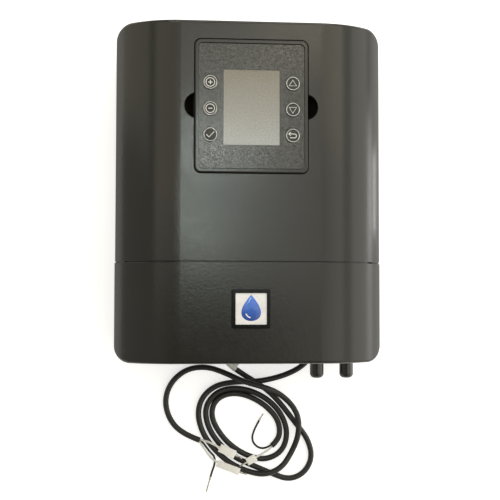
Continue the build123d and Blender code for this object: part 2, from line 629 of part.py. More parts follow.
def display_socket():
    """Socket clipped in the pocket floor, with room for the plug."""
    body = block(-16.8, 16.8, PLUG_Y - 5.8, PLUG_Y + 5.8, 83, 91.2)
    return body - block(-15.3, 15.3, PLUG_Y - 3.3, PLUG_Y + 3.3, 85.8, 92)


def display_loom():
    """Flat ribbon from the socket down to the power board."""
    path = [(42, 83), (42, 72), (58, 64), (72, 52), (76, 36), (66, 24), (64, BOARD_TOP)]
    lower = [(y - 0.9, z - 0.5) for y, z in reversed(path[1:-1])]
    outline = path + [(path[-1][0] - 1, path[-1][1])] + lower + [(41, 83)]
    section = make_face(Polyline(*outline, close=True))
    return Pos(10, 0, 0) * extrude(Plane.YZ * section, amount=9, both=True)


def key(x, y):
    """Domed key with a retaining flange and a stem over its switch."""
    cap = post(KEY_R, x, y, 112, KEY_TOP)
    cap = fillet(cap.edges().group_by(Axis.Z)[-1], 1.2)
    flange = post(KEY_R + 1.2, x, y, 112, 114.6)
    return cap + flange + post(2, x, y, 107.5 + KEY_TRAVEL + 0.15, 112.1)


KEY_PLACES = {
    "key_plus": (-KEY_X, KEY_ROWS[0]), "key_minus": (-KEY_X, KEY_ROWS[1]), "key_confirm": (-KEY_X, KEY_ROWS[2]),
    "key_up": (KEY_X, KEY_ROWS[0]), "key_down": (KEY_X, KEY_ROWS[1]), "key_back": (KEY_X, KEY_ROWS[2])}


def badge_bezel():
    """Glossy square frame let into the terminal cover."""
    frame = plate(BADGE_SIZE, BADGE_SIZE, 2, 0, BADGE_Y, CASE_D - BADGE_SEAT, CASE_D + 1.4)
    frame = fillet(frame.edges().group_by(Axis.Z)[-1], 0.8)
    return frame - plate(PLATE_SIZE, PLATE_SIZE, 0.8, 0, BADGE_Y, CASE_D - 0.4, CASE_D + 2)


def badge_plate():
    return plate(PLATE_SIZE - 0.2, PLATE_SIZE - 0.2, 0.7, 0, BADGE_Y, CASE_D - 0.4, CASE_D + 0.6)


def smooth_path(name, route):
    """Straight runs joined by arcs as large as their runs allow."""
    points = [Vector(point) for point in route]
    arc_radii = []
    for before, corner, after in zip(points, points[1:], points[2:]):
        turn = (corner - before).get_angle(after - corner)
        shorter = min((corner - before).length, (after - corner).length)
        arc_radii.append(0.45 * shorter / tan(radians(turn / 2)))
    print(name, "arc radii", [round(radius, 1) for radius in arc_radii])
    return FilletPolyline(*points, radius=arc_radii)


def lead(name, route, diameter):
    """Round sheath or core swept along its route."""
    path = smooth_path(name, route)
    section = Plane(origin=path @ 0, z_dir=path % 0) * Circle(diameter / 2)
    tube = sweep(section, path=path)
    ideal = section.area * path.length
    print(name, "length", round(path.length, 1), "volume ratio", round(tube.volume / ideal, 4))
    return tube


def point_before_end(route, distance):
    """Point on the last run of a route, and the last point when the distance is 0."""
    last = Vector(route[-1])
    back = (Vector(route[-2]) - last).normalized()
    return tuple(last + back * distance)


def core_marker(route, length, width):
    """Flattened white sleeve close to the end of a core, lying flat."""
    start = Vector(*point_before_end(route, MARKER_END + length))
    end = Vector(*point_before_end(route, MARKER_END))
    along = (end - start).normalized()
    across = along.cross(Vector(0, 0, 1))
    outline = RectangleRounded(width, MARKER_T, MARKER_T * 0.45)
    section = Plane(origin=start, x_dir=across, z_dir=along) * outline
    return extrude(section, amount=length) - straight(start, end, CORE_D / 2 + 0.05)


def core_end(route, length):
    """Crimped or tinned metal end of a core."""
    tip = point_before_end(route, -length)
    mouth = point_before_end(route, -COLLAR_LENGTH)
    return straight(route[-1], tip, FERRULE_R) + straight(route[-1], mouth, CORE_D / 2 + 0.2)


def write(name, shape):
    """Write one node; a group of pieces stays a group of separate solids."""
    if isinstance(shape, list):
        flat = []
        for item in shape:
            flat.extend(item if isinstance(item, list) else [item])
        shape = Compound(children=[solid for item in flat for solid in item.solids()])
    else:
        solids = shape.solids()
        shape = solids[0] if len(solids) == 1 else Compound(children=solids)
    export_step(shape, os.path.join("parts", name + ".step"))


def main():
    os.makedirs("parts", exist_ok=True)
    core_routes = MAINS_CORE_ROUTES + CELL_CORE_ROUTES
    nodes = {
        "rear_shell": rear_shell(),
        "hanger_plate": hanger_plate(),
        "upper_cover": upper_cover(),
        "cover_seal": cover_seal(),
        "cover_screws": cover_screws(),
        "power_board": power_board(),
        "board_screws": board_screws(),
        "transformer_core": transformer_core(),
        "transformer_winding": transformer_winding(),
        "filter_choke": filter_choke(),
        "bulk_capacitors": bulk_capacitors(),
        "heat_sink": heat_sink(),
        "power_transistors": power_transistors(),
        "relays": relays(),
        "fuse_holder": fuse_holder(),
        "mains_fuse": mains_fuse(),
        "mains_terminal_block": terminal_block(**MAINS_STRIP),
        "sensor_terminal_block": terminal_block(**SENSOR_STRIP),
        "terminal_screws": terminal_screws(),
        "display_socket": display_socket(),
        "display_loom": display_loom(),
        "lead_tails": lead_tails(),
        "gland_locknuts": gland_locknuts(),
        "blanking_plugs": blanking_plugs(),
        "jack_nuts": jack_nuts(),
        "display_housing": display_housing(),
        "display_back": display_back(),
        "keypad_overlay": keypad_overlay(),
        "screen_window": screen_window(),
        "lcd_panel": lcd_panel(),
        "display_board": display_board(),
        "tact_switches": tact_switches(),
        "display_screws": display_screws(),
        "display_plug": display_plug(),
        "terminal_cover": terminal_cover(),
        "badge_bezel": badge_bezel(),
        "badge_plate": badge_plate(),
        "mains_lead": lead("mains_lead", MAINS_ROUTE, LEAD_D),
        "cell_lead": lead("cell_lead", CELL_ROUTE, LEAD_D),
        "mains_lead_cores": [lead("mains core", route, CORE_D) for route in MAINS_CORE_ROUTES],
        "cell_lead_cores": [lead("cell core", route, CORE_D) for route in CELL_CORE_ROUTES],
        "core_markers": [core_marker(route, *sleeve) for route, sleeve in zip(core_routes, MARKERS) if sleeve],
        "core_ferrules": [core_end(route, length) for route, length in zip(core_routes, BARE_ENDS)],
    }
    for name, x in GLAND_X.items():
        nodes[name + "_gland_body"] = gland_body(x)
        nodes[name + "_gland_nut"] = gland_nut(x)
        nodes[name + "_gland_seal"] = gland_seal(x)
    for name, x in JACK_X.items():
        nodes[name + "_probe_jack"] = probe_jack(x)
        nodes[name + "_jack_cap"] = jack_cap(x)
    for name, (x, y) in KEY_PLACES.items():
        nodes[name] = key(x, y)
    for name, shape in nodes.items():
        write(name, shape)


main()
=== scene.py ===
import json
from math import cos, pi, radians, sin

import bpy
from mathutils import Matrix, Vector


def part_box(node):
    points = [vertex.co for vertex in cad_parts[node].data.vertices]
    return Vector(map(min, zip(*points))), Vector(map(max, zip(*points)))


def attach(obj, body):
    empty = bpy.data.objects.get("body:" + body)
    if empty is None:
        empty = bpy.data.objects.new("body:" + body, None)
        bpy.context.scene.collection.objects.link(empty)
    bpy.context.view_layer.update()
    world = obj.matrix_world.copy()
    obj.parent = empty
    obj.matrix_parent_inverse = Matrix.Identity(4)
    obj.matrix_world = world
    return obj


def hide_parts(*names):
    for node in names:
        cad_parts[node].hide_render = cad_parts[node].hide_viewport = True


# Looks of a salt chlorine generator's control box, lying on its back on a white floor.
# Metres; +Z out of the front, +Y to the top, +X right, origin at the centre of the back face.
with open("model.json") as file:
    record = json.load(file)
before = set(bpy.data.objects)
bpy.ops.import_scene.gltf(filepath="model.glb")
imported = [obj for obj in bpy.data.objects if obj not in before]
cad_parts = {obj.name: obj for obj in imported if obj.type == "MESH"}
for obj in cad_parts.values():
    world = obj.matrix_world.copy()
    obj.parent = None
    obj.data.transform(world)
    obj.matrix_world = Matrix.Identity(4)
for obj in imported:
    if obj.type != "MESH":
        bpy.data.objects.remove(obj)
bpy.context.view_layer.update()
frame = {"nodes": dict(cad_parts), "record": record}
MM = 0.001
UP = Vector((0, 0, 1))


# ---------------------------------------------------------------- camera
def make_camera():
    """The viewpoint of the reference: nearly straight above, a little to the lower left."""
    camera = bpy.data.objects.new("camera", bpy.data.cameras.new("camera"))
    bpy.context.scene.collection.objects.link(camera)
    camera.location = (-0.0815, -0.09795, 1.074)
    camera.rotation_euler = (0.0425, -0.08385, 0.00198)
    camera.data.lens = 72
    camera.data.sensor_width = 36
    camera.data.clip_start = 0.01
    bpy.context.scene.camera = camera


make_camera()

# ---------------------------------------------------------------- leads
SHEATH_D = 6.0 * MM
CORE_D = 2.2 * MM
MAINS_ROUTE = [
    (0.078, -0.138, 0.0155), (0.078, -0.15, 0.0155), (0.074, -0.163, 0.0148), (0.065, -0.175, 0.0132),
    (0.0505, -0.1835, 0.0112), (0.032, -0.1895, 0.01), (0.012, -0.1925, 0.01), (-0.009, -0.1925, 0.0088),
    (-0.028, -0.1965, 0.004), (-0.042, -0.208, 0.0031), (-0.0475, -0.225, 0.0031),
    (-0.043, -0.245, 0.0031), (-0.031, -0.263, 0.0031), (-0.014, -0.2785, 0.0031),
    (0.005, -0.2875, 0.006), (0.024, -0.291, 0.01), (0.042, -0.284, 0.0094), (0.0535, -0.268, 0.0044),
    (0.06, -0.25, 0.0099), (0.0605, -0.231, 0.0099), (0.053, -0.2165, 0.007), (0.038, -0.204, 0.009),
    (0.022, -0.1975, 0.0168), (0, -0.1915, 0.017), (-0.019, -0.1825, 0.0115), (-0.038, -0.1765, 0.0045),
    (-0.059, -0.179, 0.0031), (-0.076, -0.193, 0.0031), (-0.0825, -0.213, 0.0031),
    (-0.0765, -0.234, 0.0031), (-0.062, -0.248, 0.0031), (-0.045, -0.2546, 0.0031)]
CELL_ROUTE = [
    (-0.028, -0.138, 0.0155), (-0.028, -0.15, 0.0155), (-0.0235, -0.163, 0.012), (-0.013, -0.175, 0.0065),
    (0.001, -0.185, 0.0031), (0.015, -0.1935, 0.0031), (0.03, -0.204, 0.0031), (0.043, -0.218, 0.0031),
    (0.057, -0.2365, 0.0031), (0.071, -0.254, 0.0031), (0.076, -0.274, 0.0031), (0.067, -0.291, 0.0031),
    (0.05, -0.2975, 0.0031), (0.031, -0.29, 0.0031), (0.012, -0.282, 0.0031), (-0.009, -0.2725, 0.0031),
    (-0.026, -0.257, 0.0031), (-0.037, -0.239, 0.0031), (-0.0395, -0.2195, 0.0031),
    (-0.0285, -0.2045, 0.0031), (-0.011, -0.199, 0.0031), (0.009, -0.202, 0.0031),
    (0.0285, -0.212, 0.0031), (0.043, -0.228, 0.0031), (0.0495, -0.248, 0.0031),
    (0.0435, -0.2675, 0.0031), (0.025, -0.2765, 0.0031), (0.004, -0.271, 0.0031),
    (-0.015, -0.258, 0.0031), (-0.028, -0.241, 0.0031), (-0.0328, -0.227, 0.0031),
    (-0.0295, -0.214, 0.0031), (-0.0185, -0.2062, 0.0031), (-0.003, -0.205, 0.0031),
    (0.014, -0.211, 0.0031), (0.029, -0.2215, 0.0031), (0.0395, -0.235, 0.0031), (0.041, -0.25, 0.0031),
    (0.0352, -0.2587, 0.0031), (0.0321, -0.2612, 0.0031)]
MAINS_CORE_ROUTES = [
    [(-0.045, -0.2546, 0.0018), (-0.0415, -0.257, 0.0014), (-0.0378, -0.2622, 0.0014),
     (-0.0335, -0.2678, 0.0014), (-0.0286, -0.2726, 0.0014), (-0.0286, -0.2802, 0.0014),
     (-0.0314, -0.2876, 0.0014), (-0.0332, -0.294, 0.0014)],
    [(-0.0446, -0.2535, 0.0038), (-0.0409, -0.2546, 0.0066), (-0.0355, -0.2556, 0.0083),
     (-0.0255, -0.2611, 0.0085), (-0.007, -0.27, 0.0084)],
    [(-0.0454, -0.2557, 0.0038), (-0.042, -0.2606, 0.0036), (-0.0374, -0.2676, 0.0036),
     (-0.0288, -0.2777, 0.0058), (-0.0022, -0.2875, 0.01)]]
CELL_CORE_ROUTES = [
    [(0.03275, -0.262, 0.0036), (0.0285, -0.2654, 0.0046), (0.0205, -0.2694, 0.0072),
     (0.0156, -0.272, 0.0082), (0.0045, -0.2778, 0.0086)],
    [(0.03145, -0.2604, 0.0026), (0.026, -0.2642, 0.002), (0.0175, -0.2635, 0.0018),
     (0.011, -0.2565, 0.0018), (0.012, -0.246, 0.0018), (0.019, -0.234, 0.0018)]]
# Per core: tone, length, (length, width) of its flat sleeve or None, length of its metal end.
MAINS_CORES = (("core_black", 0.0463, None, 0.016), ("core_white", 0.0423, (0.0182, 0.009), 0.008),
               ("core_white", 0.0562, (0.0255, 0.0074), 0.008))
CELL_CORES = (("core_white", 0.033, (0.011, 0.008), 0.008), ("core_black", 0.0479, None, 0.008))
MAINS_LENGTH = 0.596
CELL_LENGTH = 0.704
LABEL_FROM = 30 * MM    # along the cell lead
LABEL_TO = 51 * MM


def add(name, data):
    """New object in the scene."""
    made = bpy.data.objects.new(name, data)
    bpy.context.scene.collection.objects.link(made)
    return made


def round_cord(name, route, diameter):
    """Cord on one smooth line through its route."""
    curve = bpy.data.curves.new(name, "CURVE")
    curve.dimensions = "3D"
    spline = curve.splines.new("NURBS")
    spline.points.add(len(route) - 1)
    for point, place in zip(spline.points, route):
        point.co = (*place, 1)
    spline.order_u = 3
    spline.use_endpoint_u = True
    spline.resolution_u = 16
    curve.bevel_depth = diameter / 2
    curve.bevel_resolution = 7
    curve.use_fill_caps = True
    return add(name, curve)


def centreline(cord):
    """Points along a cord's smooth line."""
    bare = cord.copy()
    bare.data = cord.data.copy()
    bare.data.bevel_depth = 0
    mesh = bpy.data.meshes.new_from_object(bare)
    line = [vertex.co.copy() for vertex in mesh.vertices]
    bpy.data.meshes.remove(mesh)
    bpy.data.objects.remove(bare)
    return line


mains_lead = round_cord("mains_lead_sheath", MAINS_ROUTE, SHEATH_D)
cell_lead = round_cord("cell_lead_sheath", CELL_ROUTE, SHEATH_D)
mains_cores = [round_cord(f"mains_core_{number}", route, CORE_D)
               for number, route in enumerate(MAINS_CORE_ROUTES, 1)]
cell_cores = [round_cord(f"cell_core_{number}", route, CORE_D)
              for number, route in enumerate(CELL_CORE_ROUTES, 1)]


# ---------------------------------------------------------------- finishes
class Finish:
    """Procedural material: a Principled shader and shorthand for the textures that drive it."""

    def __init__(self, name, **constants):
        self.material = bpy.data.materials.new(name)
        self.material.use_nodes = True
        self.tree = self.material.node_tree
        self.shader = self.tree.nodes["Principled BSDF"]
        self.place = self.node("TexCoord").outputs["Object"]
        self.relief = None
        for socket, value in constants.items():
            self.shader.inputs[socket.replace("_", " ")].default_value = value

    def node(self, kind, **settings):
        """Node of that kind; a setting with a capital is a socket's value or the output that feeds it."""
        made = self.tree.nodes.new("ShaderNode" + kind)
        for key, value in settings.items():
            if not key[0].isupper():
                setattr(made, key, value)
                continue
            socket = made.inputs[key.replace("_", " ")]
            if isinstance(value, bpy.types.NodeSocket):
                self.tree.links.new(value, socket)
            else:
                socket.default_value = value
        return made

    def noise(self, per_metre, detail=3.0, rough=0.55, twist=0.0, place=None):
        return self.node("TexNoise", Vector=place or self.place, Scale=per_metre, Detail=detail,
                         Roughness=rough, Distortion=twist).outputs["Fac"]

    def cells(self, per_metre, feature="F1", output="Distance"):
        return self.node("TexVoronoi", feature=feature, Vector=self.place, Scale=per_metre).outputs[output]

    def span(self, value, low, high, to_low, to_high):
        """The value's range low to high mapped to another one."""
        made = self.node("MapRange", Value=value)
        sockets = ("From Min", "From Max", "To Min", "To Max")
        for socket, number in zip(sockets, (low, high, to_low, to_high)):
            made.inputs[socket].default_value = number
        return made.outputs["Result"]

    def stretched(self, x, y, z):
        return self.node("Mapping", Vector=self.place, Scale=(x, y, z)).outputs["Vector"]

    def math(self, operation, a, b):
        made = self.node("Math", operation=operation)
        for socket, value in zip(made.inputs, (a, b)):
            if isinstance(value, bpy.types.NodeSocket):
                self.tree.links.new(value, socket)
            else:
                socket.default_value = value
        return made.outputs[0]

    def mix(self, share, first, second):
        """Colour between two colours or outputs."""
        made = self.node("Mix", data_type="RGBA")
        for index, value in ((0, share), (6, first), (7, second)):
            if isinstance(value, bpy.types.NodeSocket):
                self.tree.links.new(value, made.inputs[index])
            elif index == 0:
                made.inputs[index].default_value = value
            else:
                made.inputs[index].default_value = (*value, 1)
        return made.outputs[2]

    def colour(self, value):
        self.tree.links.new(value, self.shader.inputs["Base Color"])
        return self

    def rough(self, value):
        self.tree.links.new(value, self.shader.inputs["Roughness"])
        return self

    def bump(self, height, depth, strength=1.0):
        """Relief of that depth in metres, on top of any relief made before."""
        made = self.node("Bump", Height=height, Distance=depth, Strength=strength)
        if self.relief:
            self.tree.links.new(self.relief, made.inputs["Normal"])
        self.relief = made.outputs["Normal"]
        self.tree.links.new(self.relief, self.shader.inputs["Normal"])
        return self

    def worn_edges(self, radius):
        """1 on sharp edges, 0 on faces, broken up by noise."""
        soft = self.node("Bevel", samples=4, Radius=radius).outputs["Normal"]
        sharp = self.node("NewGeometry").outputs["Normal"]
        likeness = self.node("VectorMath", operation="DOT_PRODUCT", Vector=soft)
        self.tree.links.new(sharp, likeness.inputs[1])
        edge = self.span(likeness.outputs["Value"], 0.995, 0.86, 0, 1)
        return self.math("MULTIPLY", edge, self.span(self.noise(260, 4), 0.42, 0.62, 0, 1))


def moulded(name, dark, light, rough, mottle, grain=0.0, depth=0.0, **constants):
    """Moulded surface: two close tones, uneven gloss and a fine grain of that many cells per metre."""
    made = Finish(name, **constants)
    made.colour(made.mix(made.span(made.noise(mottle, 5), 0.3, 0.7, 0, 1), dark, light))
    made.rough(made.span(made.noise(mottle * 2.7, 3), 0.3, 0.7, rough[0], rough[1]))
    if grain:
        made.bump(made.noise(grain, 2, 0.5), depth)
    return made


def case_finish():
    """Charcoal moulded ABS with a fine spark-eroded grain, faint wipe marks and slightly rubbed edges."""
    made = Finish("case_abs", IOR=1.5)
    cloud = made.span(made.noise(16, 4, 0.6), 0.3, 0.7, 0, 1)
    body = made.mix(cloud, (0.0092, 0.0086, 0.0066), (0.0118, 0.0111, 0.0088))
    speck = made.span(made.noise(1900, 2), 0.35, 0.7, 0, 0.2)
    body = made.mix(speck, body, (0.034, 0.032, 0.027))
    made.colour(made.mix(made.math("MULTIPLY", made.worn_edges(0.9 * MM), 0.3), body, (0.07, 0.067, 0.06)))
    smear = made.noise(55, 5, 0.65, 1.4)
    made.rough(made.span(smear, 0.3, 0.7, 0.14, 0.20))
    made.bump(made.noise(330, 4, 0.65), 0.13 * MM, 0.6)
    made.bump(made.cells(1500, "SMOOTH_F1"), 0.03 * MM, 0.18)
    return made.bump(made.noise(2600, 2), 0.02 * MM, 0.15).material


def overlay_finish():
    """Dark metallic paint film with coarse flakes."""
    made = Finish("overlay_film", Metallic=0.75, Coat_Weight=0.15, Coat_Roughness=0.2)
    flake = made.cells(1250, "F1", "Color")
    shade = made.node("SeparateColor", Color=flake).outputs["Red"]
    tone = made.mix(shade, (0.014, 0.014, 0.0135), (0.088, 0.087, 0.085))
    drift = made.span(made.noise(24, 3), 0.35, 0.65, 0, 0.35)
    made.colour(made.mix(drift, tone, (0.043, 0.042, 0.039)))
    made.rough(made.span(made.noise(1500, 2), 0.3, 0.7, 0.17, 0.26))
    made.bump(shade, 0.05 * MM, 0.5)
    return made.bump(made.noise(900, 3), 0.04 * MM, 0.35).material


def window_finish():
    """Clear screen window with a matt protective film: warm grey, finely grained, with painted light that
    makes it paler towards its foot.
    """
    made = Finish("screen_film", Coat_Weight=0.3, Coat_Roughness=0.15)
    grain = made.span(made.noise(850, 4, 0.75), 0.36, 0.64, 0, 1)
    tone = made.mix(grain, (0.135, 0.122, 0.088), (0.23, 0.213, 0.172))
    low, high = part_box("screen_window")
    height = made.node("SeparateXYZ", Vector=made.place).outputs["Y"]
    # Painted light: the film's colour turns paler towards the foot of the window, where the lamps brighten
    # it.
    foot = made.mix(grain, (0.27, 0.275, 0.275), (0.43, 0.44, 0.445))
    tone = made.mix(made.span(height, low.y, high.y, 1, 0), tone, foot)
    drift = made.span(made.noise(22, 2), 0.35, 0.65, 0, 0.3)
    made.colour(made.mix(drift, tone, (0.26, 0.24, 0.21)))
    made.rough(made.span(made.noise(300, 3), 0.3, 0.7, 0.38, 0.55))
    return made.bump(made.noise(1500, 2), 0.02 * MM, 0.5).material


def lcd_finish():
    """Liquid-crystal glass with its pixel grid, in a tone that drifts a little."""
    made = Finish("lcd_glass", Coat_Weight=1.0, Coat_Roughness=0.06)
    grid = made.node("TexBrick", Vector=made.place, Scale=1.0, Color1=(0.30, 0.31, 0.27, 1),
                     Color2=(0.27, 0.28, 0.245, 1), Mortar=(0.17, 0.18, 0.16, 1), Mortar_Size=0.00006,
                     Brick_Width=0.0006, Row_Height=0.0006, offset=0.0)
    made.colour(made.mix(made.span(made.noise(40, 3), 0.3, 0.7, 0, 0.4), grid.outputs["Color"],
                         (0.25, 0.26, 0.22)))
    return made.rough(made.span(made.noise(200), 0.3, 0.7, 0.2, 0.3)).material


def sheath_finish():
    """Black flexible PVC with a dull bloom and a faint uneven relief."""
    made = moulded("lead_sheath", (0.0075, 0.0075, 0.0075), (0.014, 0.0138, 0.013), (0.42, 0.58), 120)
    made.bump(made.noise(420, 4, 0.6), 0.12 * MM, 0.5)
    return made.bump(made.noise(2600, 2), 0.03 * MM, 0.5).material


def vinyl_finish():
    """Glossy black dipped vinyl with small dimples."""
    made = moulded("cap_vinyl", (0.004, 0.004, 0.004), (0.007, 0.0068, 0.0065), (0.16, 0.27), 150,
                   Coat_Weight=0.3, Coat_Roughness=0.1)
    return made.bump(made.noise(180, 2), 0.15 * MM, 0.5).material


def brushed_finish(name, dark, light, rough, along, **constants):
    """Metal drawn along one axis, with fine streaks and spots of tarnish."""
    made = Finish(name, Metallic=1.0, **constants)
    scale = [1.0 if axis == along else 14.0 for axis in "xyz"]
    streak = made.noise(220, 4, 0.6, 0, made.stretched(*scale))
    tarnish = made.span(made.noise(60, 5), 0.45, 0.75, 0, 0.5)
    made.colour(made.mix(tarnish, made.mix(streak, dark, light), dark))
    made.rough(made.span(streak, 0.3, 0.7, rough[0], rough[1]))
    return made.bump(streak, 0.03 * MM, 0.5).material


def board_finish():
    """Green solder mask over copper tracks on glass-fibre board."""
    made = Finish("circuit_board", Coat_Weight=0.5, Coat_Roughness=0.15)
    track = made.node("TexBrick", Vector=made.place, Scale=1.0, Color1=(0, 0, 0, 1), Color2=(0, 0, 0, 1),
                      Mortar=(1, 1, 1, 1), Mortar_Size=0.0007, Brick_Width=0.013, Row_Height=0.0046)
    run = made.node("SeparateColor", Color=track.outputs["Color"]).outputs["Red"]
    pad = made.span(made.cells(210), 0.16, 0.13, 0, 1)
    mask = made.mix(made.math("MULTIPLY", run, 0.75), (0.006, 0.055, 0.022), (0.018, 0.12, 0.05))
    made.colour(made.mix(pad, mask, (0.42, 0.40, 0.36)))
    made.rough(made.span(made.noise(500), 0.3, 0.7, 0.25, 0.42))
    return made.bump(run, 0.04 * MM, 0.5).material


def winding_finish():
    """Yellow polyester tape wrapped in overlapping turns over the winding."""
    made = Finish("winding_tape", Coat_Weight=0.5, Coat_Roughness=0.12)
    turn = made.node("TexWave", Vector=made.place, Scale=28, Distortion=0.4, bands_direction="Z",
                     wave_profile="SAW").outputs["Fac"]
    made.colour(made.mix(turn, (0.42, 0.25, 0.03), (0.72, 0.50, 0.08)))
    made.rough(made.span(made.noise(300), 0.3, 0.7, 0.2, 0.35))
    return made.bump(turn, 0.1 * MM).material


def ribbon_finish():
    """Grey flat cable with a rib for each conductor."""
    made = Finish("ribbon_cable")
    rib = made.node("TexWave", Vector=made.place, Scale=130, bands_direction="X").outputs["Fac"]
    made.colour(made.mix(rib, (0.17, 0.17, 0.18), (0.36, 0.36, 0.37)))
    made.rough(made.span(made.noise(200), 0.3, 0.7, 0.4, 0.55))
    return made.bump(rib, 0.3 * MM).material


def emblem_finish():
    """Blue print that deepens towards the foot of the badge."""
    made = Finish("emblem_blue", Coat_Weight=1.0, Coat_Roughness=0.05)
    height = made.node("SeparateXYZ", Vector=made.place).outputs["Y"]
    low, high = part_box("badge_plate")
    made.colour(made.mix(made.span(height, low.y, high.y, 0, 1), (0.004, 0.035, 0.24), (0.012, 0.16, 0.75)))
    return made.rough(made.span(made.noise(300), 0.3, 0.7, 0.22, 0.32)).material


FINISHES = {
    "case": case_finish(),
    "shell": moulded("shell_abs", (0.019, 0.0185, 0.0165), (0.026, 0.0255, 0.023), (0.45, 0.6), 40, 1500,
                     0.06 * MM).material,
    "overlay": overlay_finish(),
    "window": window_finish(),
    "lcd": lcd_finish(),
    "keycap": moulded("key_film", (0.016, 0.016, 0.016), (0.04, 0.04, 0.038), (0.25, 0.38), 500, 1600,
                      0.03 * MM, Metallic=0.4).material,
    "key_ring": brushed_finish("key_ring_foil", (0.26, 0.26, 0.26), (0.46, 0.46, 0.45), (0.14, 0.24), "x"),
    "legend": moulded("legend_silver", (0.66, 0.66, 0.65), (0.85, 0.85, 0.84), (0.3, 0.45), 700, 1500,
                      0.02 * MM, Metallic=0.15).material,
    "black_gloss": moulded("bezel_gloss", (0.002, 0.002, 0.002), (0.004, 0.004, 0.004), (0.10, 0.2), 120,
                           300, 0.03 * MM, Specular_IOR_Level=0.25).material,
    "cap_vinyl": vinyl_finish(),
    "badge_white": moulded("badge_white", (0.74, 0.73, 0.75), (0.86, 0.85, 0.87), (0.14, 0.26), 90, 500,
                           0.02 * MM, Coat_Weight=0.6, Coat_Roughness=0.06).material,
    "emblem": emblem_finish(),
    "rubber": moulded("seal_rubber", (0.009, 0.009, 0.009), (0.016, 0.016, 0.015), (0.6, 0.78), 200, 900,
                      0.08 * MM).material,
    "gland_nylon": moulded("gland_nylon", (0.010, 0.010, 0.010), (0.019, 0.019, 0.018), (0.33, 0.48), 130,
                           1300, 0.04 * MM).material,
    "sheath": sheath_finish(),
    "core_black": moulded("core_black", (0.006, 0.006, 0.006), (0.012, 0.012, 0.012), (0.32, 0.45), 300,
                          900, 0.05 * MM).material,
    "core_white": moulded("core_white", (0.66, 0.65, 0.62), (0.8, 0.79, 0.76), (0.32, 0.45), 300, 900,
                          0.05 * MM).material,
    "marker_white": moulded("marker_white", (0.84, 0.83, 0.81), (0.95, 0.94, 0.93), (0.4, 0.6), 400, 1200,
                            0.06 * MM).material,
    "label": moulded("blank_label", (0.72, 0.70, 0.68), (0.88, 0.86, 0.83), (0.3, 0.45), 160, 700,
                     0.05 * MM, Coat_Weight=0.3).material,
    "steel": brushed_finish("zinc_steel", (0.38, 0.38, 0.37), (0.62, 0.61, 0.59), (0.28, 0.42), "x"),
    "nickel": brushed_finish("nickel_plate", (0.48, 0.46, 0.42), (0.7, 0.68, 0.62), (0.16, 0.3), "y"),
    "pcb": board_finish(),
    "ferrite": moulded("ferrite", (0.028, 0.027, 0.027), (0.055, 0.053, 0.052), (0.5, 0.7), 300, 1800,
                       0.08 * MM).material,
    "winding": winding_finish(),
    "copper": brushed_finish("enamelled_copper", (0.36, 0.12, 0.05), (0.66, 0.27, 0.12), (0.2, 0.35), "y",
                             Coat_Weight=0.6, Coat_Roughness=0.15),
    "capacitor": moulded("capacitor_sleeve", (0.008, 0.012, 0.035), (0.014, 0.02, 0.055), (0.24, 0.38), 90,
                         600, 0.04 * MM, Coat_Weight=0.3).material,
    "aluminium": brushed_finish("heat_sink_aluminium", (0.55, 0.56, 0.57), (0.78, 0.79, 0.8), (0.3, 0.48),
                                "z"),
    "component_black": moulded("component_black", (0.012, 0.012, 0.012), (0.024, 0.024, 0.023),
                               (0.4, 0.55), 200, 1200, 0.05 * MM).material,
    "fuse_glass": moulded("fuse_glass", (0.55, 0.58, 0.57), (0.72, 0.75, 0.74), (0.06, 0.14), 200, 500,
                          0.02 * MM, Coat_Weight=1.0, Coat_Roughness=0.03).material,
    "terminal_green": moulded("terminal_green", (0.006, 0.15, 0.055), (0.012, 0.21, 0.085), (0.34, 0.48),
                              120, 1300, 0.05 * MM).material,
    "ribbon": ribbon_finish(),
}


def paint(piece, finish):
    piece.data.materials.clear()
    piece.data.materials.append(FINISHES[finish])


def paint_frame():
    """Every CAD node takes the finish of its own slot in the record."""
    for subpart in frame["record"]["subparts"]:
        piece = frame["nodes"][subpart["node"]]
        for slot in piece.material_slots:
            slot.material = FINISHES[subpart["material_slot"]]


# ---------------------------------------------------------------- shape tools
def mesh_piece(name, points, faces, body, finish, crease=35):
    """Piece from points and faces in the frame, smooth except at edges sharper than the crease."""
    mesh = bpy.data.meshes.new(name)
    mesh.from_pydata([tuple(point) for point in points], [], faces)
    mesh.validate()
    mesh.shade_smooth()
    mesh.set_sharp_from_angle(angle=radians(crease))
    piece = add(name, mesh)
    paint(piece, finish)
    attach(piece, body)
    return piece


def turned_shape(profile, steps, place, ripple=None):
    """Points and faces of a body of revolution about its own Z, moved to its place.

    profile runs (radius, height) from the axis out and back to it. ripple(turn, height) scales a radius.
    """
    points = []
    rings = []
    for radius, height in profile:
        if radius == 0:
            rings.append([len(points)] * steps)
            points.append(place @ Vector((0, 0, height)))
            continue
        rings.append(list(range(len(points), len(points) + steps)))
        for step in range(steps):
            turn = 2 * pi * step / steps
            out = radius * (ripple(turn, height) if ripple else 1)
            points.append(place @ Vector((out * cos(turn), out * sin(turn), height)))
    faces = []
    for lower, upper in zip(rings, rings[1:]):
        for step in range(steps):
            after = (step + 1) % steps
            face = [lower[step], lower[after], upper[after], upper[step]]
            faces.append(list(dict.fromkeys(face)))
    return points, faces


def skin(rings, size):
    """Faces of a closed body of that many rings of points, capped at both ends."""
    faces = []
    for ring in range(rings - 1):
        lower = ring * size
        upper = lower + size
        for step in range(size):
            after = (step + 1) % size
            faces.append([lower + step, lower + after, upper + after, upper + step])
    first = list(range(size))
    last = list(range((rings - 1) * size, rings * size))
    return faces + [first[::-1], last]


def facing(start, towards):
    """Place with its own Z along a direction."""
    turn = (Vector(towards) - Vector(start)).to_track_quat("Z", "Y").to_matrix().to_4x4()
    return Matrix.Translation(start) @ turn


